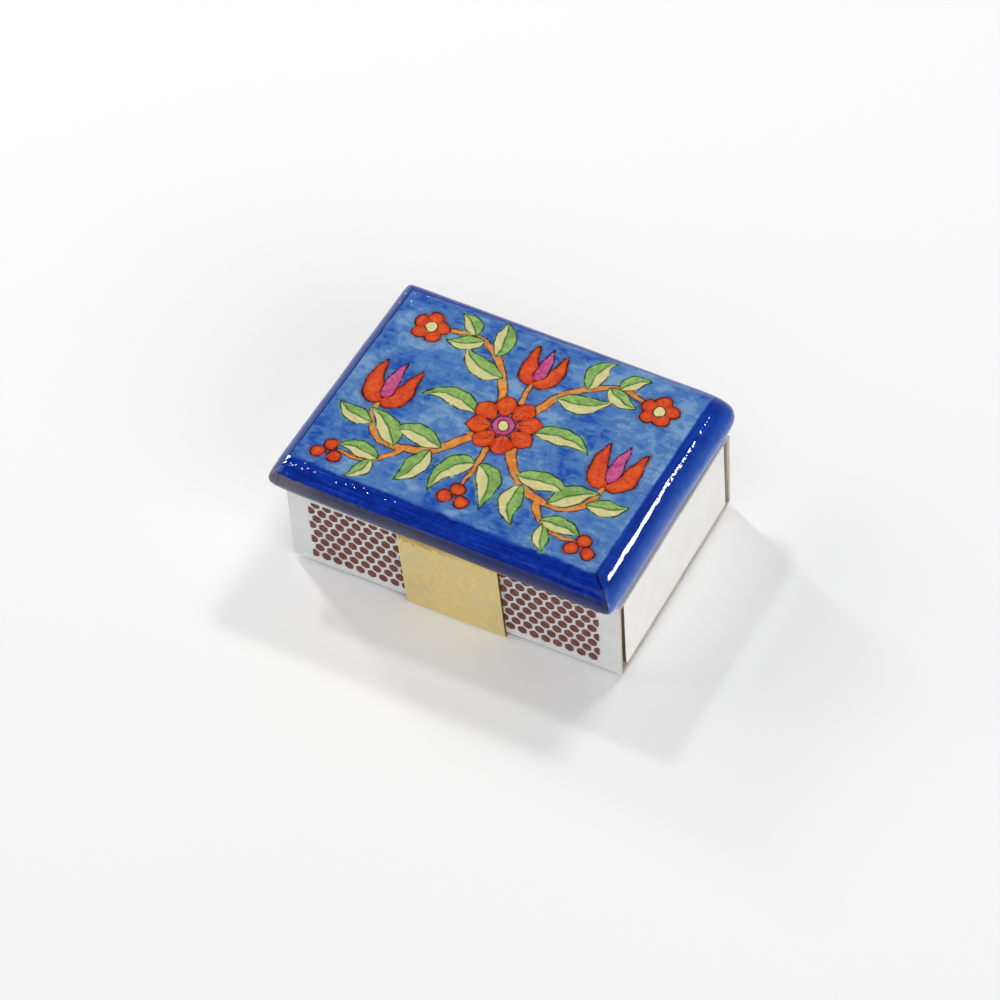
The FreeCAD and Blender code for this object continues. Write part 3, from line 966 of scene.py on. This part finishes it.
start_clean()
bpy.ops.mesh.primitive_plane_add(size=1)
clip = name_piece("bent_clip")
bpy.ops.object.mode_set(mode="EDIT")
bpy.ops.mesh.select_all(action="SELECT")
lip_run = bend_line - lip_end
bpy.ops.transform.resize(value=(clip_high.x - clip_low.x, lip_run, 1), center_override=(0, 0, 0))
bpy.ops.transform.translate(value=(0, -lip_end - lip_run / 2, clip_low.z))
low_bend = clip_low.z + CLIP_BEND
high_bend = clip_high.z - CLIP_BEND
bend_round(clip, -bend_line, clip_low.z, -bend_line, low_bend)
pull(clip, -arm_face, low_bend, (0, 0, high_bend - low_bend))
bend_round(clip, -arm_face, high_bend, -bend_line, high_bend)
pull(clip, -bend_line, clip_high.z, (0, 2 * bend_line, 0))
bend_round(clip, bend_line, clip_high.z, bend_line, high_bend)
pull(clip, arm_face, high_bend, (0, 0, low_bend - high_bend))
bend_round(clip, arm_face, low_bend, bend_line, low_bend)
pull(clip, bend_line, clip_low.z, (0, -lip_run, 0))
bpy.ops.mesh.select_all(action="SELECT")
bpy.ops.mesh.remove_doubles(threshold=TOUCH)
bpy.ops.mesh.normals_make_consistent(inside=False)
pick(clip, "VERT", lambda middle, run: middle.y < 0 and middle.z < low_bend + TOUCH)
bpy.ops.transform.translate(value=(ASKEW, 0, 0))
start_clean()
report(clip)

# %% [markdown]
# The strip gets its gauge inwards, so that the outside keeps its measured size. Each screw hole is cut
# with a cone, as a countersink would, and a fine bevel breaks the sheared edges. That bevel catches
# light along the left side of the arm.

# %% Give it gauge, holes and broken edges
SCREW_OFFSET = 9.0 * MM
COUNTERSINK_RADIUS = 1.62 * MM
COUNTERSINK_DEPTH = 1.0 * MM
START_BELOW = 0.1 * MM
BROKEN_EDGE = 0.09 * MM

apply_modifier(clip, "SOLIDIFY", thickness=CLIP_SHEET, offset=-1.0)
web_underside = clip_high.z - CLIP_SHEET
cone_radius = COUNTERSINK_RADIUS + START_BELOW
for side in (-1, 1):
    start_clean()
    bpy.ops.mesh.primitive_cone_add(
        vertices=32,
        radius1=cone_radius,
        radius2=cone_radius - COUNTERSINK_DEPTH,
        depth=COUNTERSINK_DEPTH,
        location=(0, side * SCREW_OFFSET, web_underside - START_BELOW + COUNTERSINK_DEPTH / 2),
    )
    countersink = bpy.context.object
    apply_modifier(clip, "BOOLEAN", operation="DIFFERENCE", object=countersink, solver="EXACT")
    bpy.data.objects.remove(countersink, do_unlink=True)
apply_modifier(
    clip, "BEVEL", width=BROKEN_EDGE, segments=2, limit_method="ANGLE", angle_limit=math.radians(40)
)
smooth(clip, 30)
report(clip)

# %% [markdown]
# Old sheet brass that was wiped rather than polished: a pale satin gold with cloudy tarnish, fine
# scratches both along and across the strip, a few darker specks, and a brown line high on the arm, where
# it meets the board. The arm is painted darker towards its top as shade under the board, a painted
# highlight runs along its left side, and the sheared sides of the strip are darker.

# %% Finish the brass
clip_finish, tree, shader = new_finish("wiped sheet brass")
place = millimetres(tree)
px, py, pz = axes(tree, place)
cloud = noise(tree, place, 0.28, 4, 0.6, 0.5)
fine_cloud = noise(tree, place, 1.6, 4, 0.65)
smudge = noise(tree, stretch(tree, place, (0.9, 0.9, 0.4)), 0.8, 5, 0.7, 0.8)
scratch_up = noise(tree, stretch(tree, place, (6.0, 6.0, 0.25)), 1.0, 3, 0.7)
scratch_along = noise(tree, stretch(tree, place, (0.3, 6.0, 6.0)), 1.0, 3, 0.7)
scratches = times(tree, calc(tree, "ADD", scratch_up, scratch_along), 0.5)
# a brown band along the top of the arm, strongest on the left
brown_band_edge = calc(tree, "ADD", pz, times(tree, fine_cloud, 3.0))
brown_band = times(tree, ramp(tree, brown_band_edge, 15.2, 16.2, 0.0, 0.8), ramp(tree, px, 3.0, -3.0, 0.25, 1.0))
# painted highlight: a pale line along the left side of the arm
edge_highlight = calc(tree, "ADD", px, times(tree, pz, ASKEW / (clip_high.z - clip_low.z)))
facing = axes(tree, add(tree, "ShaderNodeTexCoord").outputs["Normal"])["X"]

colour = over(tree, ramp(tree, cloud, 0.35, 0.68), srgb(247, 223, 152), srgb(235, 219, 166))
for share, tint in (
    (ramp(tree, fine_cloud, 0.50, 0.78, 0.0, 0.5), srgb(220, 193, 127)),
    (ramp(tree, smudge, 0.48, 0.72, 0.0, 0.45), srgb(220, 208, 170)),
    (ramp(tree, smudge, 0.50, 0.28, 0.0, 0.4), srgb(222, 191, 116)),
    (ramp(tree, scratches, 0.60, 0.72, 0.0, 0.35), srgb(240, 224, 176)),
    (ramp(tree, noise(tree, place, 5.0, 3, 0.7), 0.55, 0.80, 0.0, 0.35), srgb(176, 150, 96)),
    (ramp(tree, noise(tree, place, 2.3, 2, 0.5), 0.76, 0.80, 0.0, 0.7), srgb(128, 104, 64)),
    (brown_band, srgb(158, 118, 58)),
    # painted shade: darker towards the top of the arm, under the board
    (ramp(tree, pz, 8.0, 15.0, 0.0, 0.35), srgb(198, 170, 108)),
    # painted highlight along the left side of the arm
    (ramp(tree, edge_highlight, -7.05, -7.2, 0.0, 0.7), srgb(252, 240, 200)),
    (ramp(tree, calc(tree, "ABSOLUTE", facing), 0.75, 0.9), srgb(138, 112, 62)),
):
    colour = over(tree, share, colour, tint)
cloudy_shine = ramp(tree, cloud, 0.3, 0.7, 0.30, 0.44)
scratched_shine = ramp(tree, scratches, 0.4, 0.7, -0.05, 0.08)
feed(tree, shader, {
    "Base Color": colour,
    "Metallic": 1.0,
    "Roughness": calc(tree, "ADD", cloudy_shine, scratched_shine),
    "Normal": bump(tree, scratches, 0.010, 1.0, bump(tree, cloud, 0.10)),
})
clip.data.materials.append(clip_finish)
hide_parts("brass_clip")
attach(clip, "holder")
print("clip finished")

# %% [markdown]
# ## The card sleeve
# A matchbox sleeve is one strip of thin card, white outside and grey inside, creased four times and
# glued to itself inside one wall. A cube makes the tube: its two ends come off, its long edges are
# bevelled to the radius of a crease, and Solidify gives the card its thickness, with one finish
# outside, another inside and a third on the cut ends.

# %% Fold the sleeve
sleeve_low, sleeve_high = (Vector(corner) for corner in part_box("matchbox_sleeve"))
CARD = 0.45 * MM
CREASE = 0.6 * MM
LAP_DEPTH = 9.0 * MM
LAP_EDGE = 0.12 * MM
sleeve_size = sleeve_high - sleeve_low
sleeve_middle = (sleeve_high + sleeve_low) / 2

sleeve = add_block("card_sleeve", sleeve_size, sleeve_middle)
pick(sleeve, "FACE", lambda middle, run: abs(run.x) > ALONG)
bpy.ops.mesh.delete(type="ONLY_FACE")
pick(sleeve, "EDGE", lambda middle, run: abs(run.x) > ALONG)
bpy.ops.mesh.bevel(offset=CREASE, segments=4, affect="EDGES")
pick(sleeve, "EDGE", lambda middle, run: abs(run.x) > ALONG)
bpy.ops.mesh.subdivide(number_cuts=25)
pick(sleeve, "EDGE", lambda middle, run: abs(run.y) > ALONG and abs(middle.y) < TOUCH)
bpy.ops.mesh.subdivide(number_cuts=11)
pick(sleeve, "EDGE", lambda middle, run: abs(run.z) > ALONG and abs(middle.z - sleeve_middle.z) < TOUCH)
bpy.ops.mesh.subdivide(number_cuts=7)
bpy.ops.mesh.select_all(action="SELECT")
bpy.ops.mesh.normals_make_consistent(inside=False)
bpy.ops.object.mode_set(mode="OBJECT")
print("sleeve walls:", len(sleeve.data.polygons), "faces")
bpy.ops.object.mode_set(mode="EDIT")

# %% [markdown]
# Thin card never stays flat between its creases. A Displace modifier lets the two side walls and the
# top sink in by up to a sixth of a millimetre, never outwards, so that the sleeve still slides through
# its clip.

# %% Let the card sag, then give it thickness and its glued lap
SAG = 0.16 * MM
SAG_SPACING = 14 * MM

pick(sleeve, "VERT", lambda middle, run: middle.z > sleeve_low.z + CREASE + TOUCH)
bpy.ops.object.vertex_group_assign_new()
sag_group = sleeve.vertex_groups[-1].name
sag = bpy.data.textures.new("sag", "CLOUDS")
sag.noise_scale = SAG_SPACING
apply_modifier(
    sleeve, "DISPLACE", texture=sag, texture_coords="LOCAL", strength=SAG, mid_level=1.0,
    vertex_group=sag_group,
)
sleeve.vertex_groups.clear()


def card_finish(name, first, second, fleck, fleck_share, layers=0.0):
    """Card stock: two close tones in soft clouds, short fibres, and layers if it is a cut edge."""
    finish, tree, shader = new_finish(name)
    place = millimetres(tree)
    cloud = noise(tree, place, 0.22, 4, 0.6)
    fibre = noise(tree, stretch(tree, place, (1.2, 5.0, 5.0), 24), 1.0, 3, 0.6)
    colour = over(tree, ramp(tree, cloud, 0.3, 0.7), first, second)
    colour = over(tree, ramp(tree, fibre, 0.62, 0.74, 0.0, fleck_share), colour, fleck)
    if layers:
        ply = noise(tree, stretch(tree, place, (0.4, 9.0, 9.0)), 1.0, 2, 0.5)
        colour = over(tree, ramp(tree, ply, 0.4, 0.65, 0.0, layers), colour, fleck)
    feed(tree, shader, {
        "Base Color": colour,
        "Roughness": 0.62,
        "Specular IOR Level": 0.3,
        "Normal": bump(tree, calc(tree, "ADD", cloud, fibre), 0.012),
    })
    return finish


sleeve_finishes = (
    card_finish("white card face", srgb(214, 214, 215), srgb(221, 221, 221), srgb(195, 195, 195), 0.25),
    card_finish("grey card back", srgb(178, 168, 152), srgb(194, 186, 172), srgb(140, 128, 112), 0.5),
    card_finish("cut card edge", srgb(186, 176, 160), srgb(206, 198, 184), srgb(146, 130, 110), 0.4, 0.5),
)
INSIDE_FINISH = 1
CUT_FINISH = 2
for finish in sleeve_finishes:
    sleeve.data.materials.append(finish)
apply_modifier(
    sleeve, "SOLIDIFY", thickness=CARD, offset=-1.0, use_even_offset=True,
    material_offset=INSIDE_FINISH, material_offset_rim=CUT_FINISH,
)

lap_middle = (sleeve_middle.x, sleeve_high.y - 1.5 * CARD, sleeve_high.z - CARD - LAP_DEPTH / 2)
lap = add_block("glued_lap", (sleeve_size.x, CARD, LAP_DEPTH), lap_middle)
pick(lap, "EDGE", lambda middle, run: abs(run.x) > ALONG and middle.z < sleeve_middle.z)
bpy.ops.mesh.bevel(offset=LAP_EDGE, segments=2, affect="EDGES")
bpy.ops.object.mode_set(mode="OBJECT")
for finish in sleeve_finishes:
    lap.data.materials.append(finish)
for face in lap.data.polygons:
    face.material_index = CUT_FINISH if abs(face.normal.x) > ALONG else INSIDE_FINISH
start_clean()
lap.select_set(True)
sleeve.select_set(True)
bpy.context.view_layer.objects.active = sleeve
bpy.ops.object.join()
smooth(sleeve, 30)
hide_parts("matchbox_sleeve")
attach(sleeve, "sleeve")
report(sleeve)

# %% [markdown]
# ## The printed striker
# Each long side of the sleeve carries a patch of red-brown dots of striking compound in a honeycomb.
# One dot is a six-sided circle with its corners rounded and a thin coat of height. Array modifiers
# repeat it along a row and then in pairs of staggered rows, and Bisect trims the patch to its straight
# borders, as the printing plate does. Where a border meets a corner, Bisect can fill one cut twice, and
# `validate` drops the second face.

# %% Print the dots
striker_low, striker_high = (Vector(corner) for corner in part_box("striker_front"))
DOT_PITCH = 1.87 * MM
DOT_ROW_PITCH = 1.58 * MM
DOT_GAP = 0.5 * MM
DOT_FIRST_ROW = 0.63 * MM
DOT_FIRST_COLUMN = 0.3 * MM
DOT_CORNER = 0.16 * MM
dot_radius = (DOT_PITCH - DOT_GAP) / math.sqrt(3)
coat = striker_high.y - striker_low.y
columns = math.ceil((striker_high.x - striker_low.x) / DOT_PITCH) + 1
row_pairs = math.ceil((striker_high.z - striker_low.z) / (2 * DOT_ROW_PITCH)) + 1


def print_patch(name, wall, outwards):
    """A patch of dots on the wall at this y, standing out by the coat."""
    first_dot = (
        striker_low.x + DOT_FIRST_COLUMN, min(wall, wall + outwards * coat), striker_low.z + DOT_FIRST_ROW
    )
    start_clean()
    bpy.ops.mesh.primitive_circle_add(vertices=6, radius=dot_radius, fill_type="NGON")
    patch = name_piece(name)
    bpy.ops.object.mode_set(mode="EDIT")
    bpy.ops.mesh.select_all(action="SELECT")
    bpy.ops.mesh.bevel(offset=DOT_CORNER, segments=3, affect="VERTICES")
    bpy.ops.mesh.select_all(action="SELECT")
    bpy.ops.transform.rotate(value=math.pi / 2, orient_axis="X", center_override=(0, 0, 0))
    bpy.ops.mesh.extrude_region_move(TRANSFORM_OT_translate={"value": (0, coat, 0)})
    bpy.ops.mesh.select_all(action="SELECT")
    bpy.ops.transform.translate(value=first_dot)
    for count, step in (
        (columns, (DOT_PITCH, 0, 0)),
        (2, (DOT_PITCH / 2, 0, DOT_ROW_PITCH)),
        (row_pairs, (0, 0, 2 * DOT_ROW_PITCH)),
    ):
        apply_modifier(
            patch, "ARRAY", count=count, use_relative_offset=False,
            use_constant_offset=True, constant_offset_displace=step,
        )
    bpy.ops.object.mode_set(mode="EDIT")
    for corner, sign in ((striker_low, -1), (striker_high, 1)):
        for normal in (Vector((sign, 0, 0)), Vector((0, 0, sign))):
            bpy.ops.mesh.select_all(action="SELECT")
            bpy.ops.mesh.bisect(
                plane_co=corner, plane_no=normal, use_fill=True, clear_inner=False, clear_outer=True
            )
    bpy.ops.mesh.select_all(action="SELECT")
    bpy.ops.mesh.normals_make_consistent(inside=False)
    bpy.ops.object.mode_set(mode="OBJECT")
    patch.data.validate()
    report(patch)
    return patch


front_dots = print_patch("front_striker_dots", sleeve_low.y, -1)
back_dots = print_patch("back_striker_dots", sleeve_high.y, 1)

# %% [markdown]
# Striking compound is a matte paint full of fine grit: a dull red-brown laid on unevenly, with pale
# grains of glass. Grain that fine is a bump and a speckle in the finish.

# %% Finish the striker
dot_finish, tree, shader = new_finish("striking compound")
place = millimetres(tree)
grit = noise(tree, place, 7.0, 3, 0.7)
thin = noise(tree, place, 1.1, 3, 0.6)
colour = over(tree, ramp(tree, thin, 0.35, 0.68), srgb(102, 61, 56), srgb(122, 81, 74))
colour = over(tree, ramp(tree, grit, 0.60, 0.74, 0.0, 0.5), colour, srgb(156, 116, 100))
feed(tree, shader, {
    "Base Color": colour,
    "Roughness": 0.85,
    "Specular IOR Level": 0.2,
    "Normal": bump(tree, grit, 0.03),
})
for dots, node in ((front_dots, "striker_front"), (back_dots, "striker_back")):
    dots.data.materials.append(dot_finish)
    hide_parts(node)
    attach(dots, "sleeve")
print("striker finished")

# %% [markdown]
# ## The tray
# The tray is a second piece of card, folded up on four sides with its ends turned in double. A cube
# gives the outside. The top face is inset by one card, drawn in further at the two ends for their
# second layer, and pushed down to leave a floor one card thick. All the folds are then rounded in one
# Bevel, so that they meet cleanly at the corners. Folded card never stands quite square, so last the
# walls lean in a little and the end stands out and aside. The gap beside the front wall is a wedge, as
# on the real box.

# %% Fold the tray
tray_low, tray_high = (Vector(corner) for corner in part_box("matchbox_tray"))
tray_size = tray_high - tray_low
tray_middle = (tray_high + tray_low) / 2
inner_x = tray_size.x / 2 - 2 * CARD
inner_y = tray_size.y / 2 - CARD
TRAY_FOLD = 0.25 * MM
FRONT_LEAN = 0.35 * MM
BACK_LEAN = -0.4 * MM
FRONT_TUCK = 0.65 * MM
BACK_TUCK = 0.2 * MM
END_BULGE = 0.15 * MM
END_SET_BACK = 0.28 * MM

tray = add_block("card_tray", tray_size, tray_middle)
pick(tray, "FACE", lambda middle, run: run.z > ALONG)
bpy.ops.mesh.inset(thickness=CARD)
bpy.ops.transform.resize(
    value=(inner_x / (tray_size.x / 2 - CARD), 1, 1), center_override=(tray_middle.x, 0, tray_high.z)
)
bpy.ops.mesh.extrude_region_move(TRANSFORM_OT_translate={"value": (0, 0, CARD - tray_size.z)})


def is_fold(middle, run):
    """True for the long folds under the tray, its four outside corners and the folds over its ends."""
    under = abs(run.x) > ALONG and middle.z < tray_low.z + TOUCH
    at_side = abs(abs(middle.y) - tray_high.y) < TOUCH
    at_end = abs(abs(middle.x - tray_middle.x) - tray_size.x / 2) < TOUCH
    upright = abs(run.z) > ALONG and at_side and at_end
    on_rim = abs(run.y) > ALONG and middle.z > tray_high.z - TOUCH
    return under or upright or on_rim


pick(tray, "EDGE", is_fold)
bpy.ops.mesh.bevel(offset=TRAY_FOLD, segments=3, affect="EDGES")
for is_rim, side, move in (
    (True, -1, FRONT_LEAN), (True, 1, BACK_LEAN), (False, -1, FRONT_TUCK), (False, 1, BACK_TUCK)
):
    pick(
        tray, "VERT",
        lambda middle, run: (middle.z > tray_middle.z) == is_rim and side * middle.y > tray_size.y / 4,
    )
    bpy.ops.transform.translate(value=(0, move, 0))
pick(tray, "VERT", lambda middle, run: middle.x > tray_high.x - CARD)
bpy.ops.transform.translate(value=(END_BULGE, 0, 0))
pick(tray, "VERT", lambda middle, run: middle.x > tray_high.x - CARD and middle.y < 0)
bpy.ops.transform.translate(value=(0, END_SET_BACK, 0))
bpy.ops.object.mode_set(mode="OBJECT")
report(tray)

# %% [markdown]
# The tray is white outside and grey inside. Its two long walls are bare brown card, made dark enough to
# stand also as painted shade in the narrow gap beside the sleeve. Each face takes its finish from where it
# is and which way it faces.

# %% Finish the tray
tray_finishes = (
    card_finish("tray card face", srgb(236, 235, 231), srgb(241, 240, 237), srgb(222, 220, 214), 0.25),
    card_finish("tray card inside", srgb(196, 190, 178), srgb(210, 204, 194), srgb(160, 150, 136), 0.45),
    card_finish("tray card side", srgb(92, 75, 50), srgb(110, 92, 66), srgb(74, 58, 38), 0.45),
)
SIDE_FINISH = 2
for finish in tray_finishes:
    tray.data.materials.append(finish)
for face in tray.data.polygons:
    middle = face.center
    within = abs(middle.x - tray_middle.x) < inner_x + TOUCH and abs(middle.y) < inner_y + CARD / 2
    below_rim = middle.z < tray_high.z - TOUCH
    underneath = middle.z < tray_low.z + 0.8 * CARD
    face.material_index = INSIDE_FINISH if within and below_rim and not underneath else 0
    # partly painted shade: the dark brown long walls darken the gap beside the sleeve
    if abs(face.normal.y) > ALONG and face.normal.y * middle.y > 0:
        face.material_index = SIDE_FINISH
smooth(tray, 30)
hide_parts("matchbox_tray")
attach(tray, "tray")
print("tray finished")

# %% [markdown]
# ## Screws and matches
# These solids already have their shape, so they only need finishes of their own. Aspen splints are pale
# with fine grain along their length. The heads are a matte paste with fine pits, and the screws are
# turned brass, a little deeper in colour than the wiped clip.

# %% Finish the screws
screw_finish, tree, shader = new_finish("turned screw brass")
place = millimetres(tree)
turned = noise(tree, stretch(tree, place, (5.0, 5.0, 0.6)), 1.0, 3, 0.6)
colour = over(tree, ramp(tree, turned, 0.35, 0.7), srgb(218, 190, 118), srgb(196, 164, 96))
feed(tree, shader, {
    "Base Color": colour,
    "Metallic": 1.0,
    "Roughness": ramp(tree, turned, 0.3, 0.7, 0.24, 0.4),
    "Normal": bump(tree, turned, 0.01),
})
print("screws:", len(tree.nodes), "nodes")

# %% [markdown]
# Each match is two solids, a splint and a head. The splints of a layer share one node and its heads
# another, so two finishes serve all thirty. The slow tone across the splints makes neighbours differ a
# little.

# %% Finish the matches
splint_finish, tree, shader = new_finish("aspen splint")
place = millimetres(tree)
grain = noise(tree, stretch(tree, place, (0.10, 4.5, 4.5)), 1.0, 5, 0.65)
splint_tone = noise(tree, stretch(tree, place, (0.01, 0.45, 0.45)), 1.0, 1, 0.5)
colour = over(tree, ramp(tree, grain, 0.35, 0.70), srgb(226, 200, 152), srgb(206, 172, 118))
colour = over(tree, ramp(tree, splint_tone, 0.40, 0.65, 0.0, 0.45), colour, srgb(236, 216, 176))
feed(tree, shader, {"Base Color": colour, "Roughness": 0.7, "Normal": bump(tree, grain, 0.05)})

head_finish, tree, shader = new_finish("match paste")
place = millimetres(tree)
pits = noise(tree, place, 4.5, 3, 0.6)
tone = noise(tree, place, 0.8, 2, 0.5)
colour = over(tree, ramp(tree, tone, 0.3, 0.7), srgb(122, 34, 26), srgb(150, 50, 36))
colour = over(tree, ramp(tree, pits, 0.58, 0.72, 0.0, 0.5), colour, srgb(92, 24, 20))
feed(tree, shader, {"Base Color": colour, "Roughness": 0.72, "Normal": bump(tree, pits, 0.08)})

solid_finishes = {"clip_screws": screw_finish, "match_splints": splint_finish, "match_heads": head_finish}
for name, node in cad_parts.items():
    for start, finish in solid_finishes.items():
        if name.startswith(start):
            node.data.materials.clear()
            node.data.materials.append(finish)
            print(name, "gets", finish.name)
